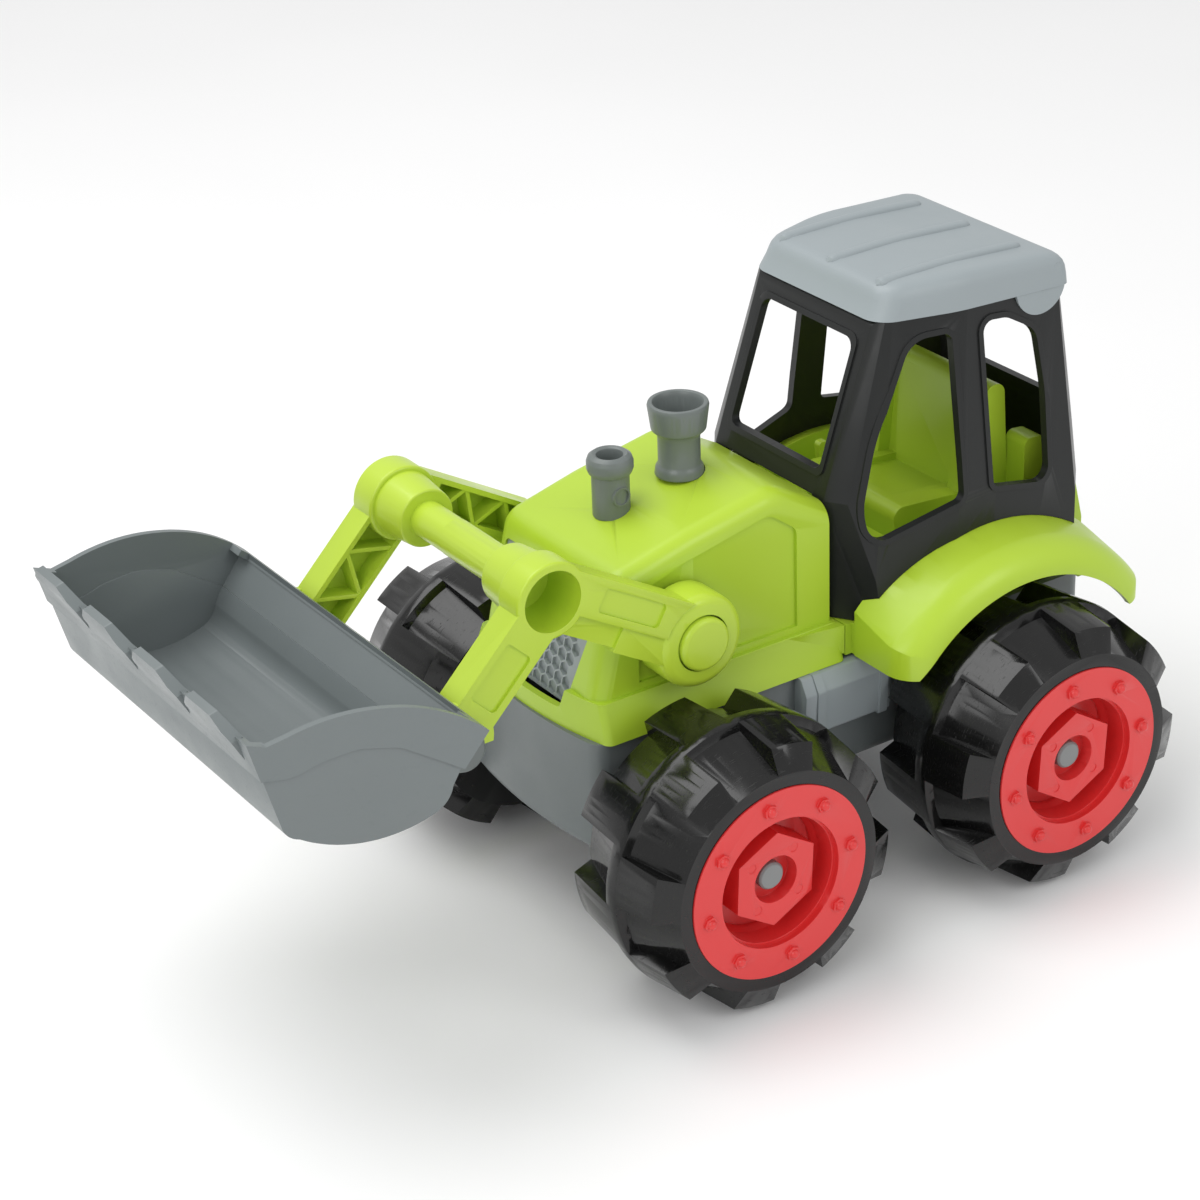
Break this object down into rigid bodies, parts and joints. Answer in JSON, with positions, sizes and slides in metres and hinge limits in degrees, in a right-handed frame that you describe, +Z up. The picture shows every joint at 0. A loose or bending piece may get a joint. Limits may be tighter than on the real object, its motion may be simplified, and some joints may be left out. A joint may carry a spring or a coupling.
{
  "type": "toy front loader",
  "caption": "Plastic toy tractor with an open cab, large lugged wheels, a lifting loader frame and a wide tipping bucket with teeth.",
  "frame": {"origin": "centre of the overall box in plan, on the floor under the wheels", "axes": "+X forward towards the bucket, +Y to the toy's left, +Z up"},
  "size_m": [0.357, 0.2012, 0.209],
  "materials": {
    "lime_body": "satin moulded plastic, yellowish green",
    "lime_arms": "satin moulded plastic, yellowish green",
    "grey_body": "satin moulded plastic, mid grey",
    "grey_bucket": "satin moulded plastic, mid grey",
    "grey_stack": "satin moulded plastic, mid grey",
    "grey_light": "satin moulded plastic, light grey",
    "grille_grey": "satin moulded plastic, light grey",
    "cab_dark": "semi-matte charcoal plastic with fine grain",
    "tyre_black": "glossy black plastic",
    "rim_red": "satin red plastic",
    "axle_grey": "grey plastic rod",
    "screw_steel": "zinc plated steel"
  },
  "bodies": {
    "tractor": {"chassis": "grey_body", "body_screws": "screw_steel", "side_box_left": "grey_light", "side_box_right": "grey_light", "hood": "lime_body", "grille": "grille_grey", "exhaust_stack": "grey_stack", "intake_stack": "grey_stack", "rear_body": "lime_body", "cab_frame": "cab_dark", "roof": "grey_light", "lift_pin_left": "lime_arms", "lift_pin_right": "lime_arms"},
    "front_wheels": {"tyre_front_left": "tyre_black", "tyre_front_right": "tyre_black", "rim_front_left": "rim_red", "rim_front_right": "rim_red", "axle_front": "axle_grey"},
    "rear_wheels": {"tyre_rear_left": "tyre_black", "tyre_rear_right": "tyre_black", "rim_rear_left": "rim_red", "rim_rear_right": "rim_red", "axle_rear": "axle_grey"},
    "loader": {"loader_arm_left": "lime_arms", "loader_arm_right": "lime_arms"},
    "scoop": {"bucket": "grey_bucket", "bucket_pin_left": "grey_stack", "bucket_pin_right": "grey_stack"}
  },
  "joints": [
    {"name": "front_wheels_spin", "type": "hinge", "parent": "tractor", "child": "front_wheels", "pos_m": [0.0058, 0, 0.0493], "axis": [0, 1, 0], "continuous": true},
    {"name": "rear_wheels_spin", "type": "hinge", "parent": "tractor", "child": "rear_wheels", "pos_m": [-0.1192, 0, 0.0493], "axis": [0, 1, 0], "continuous": true},
    {"name": "loader_lift", "type": "hinge", "parent": "tractor", "child": "loader", "pos_m": [-0.0003, 0, 0.1129], "axis": [0, -1, 0], "range_deg": [-36, 50]},
    {"name": "bucket_tip", "type": "hinge", "parent": "loader", "child": "scoop", "pos_m": [0.093, 0, 0.1085], "axis": [0, 1, 0], "range_deg": [-20, 75]}
  ]
}
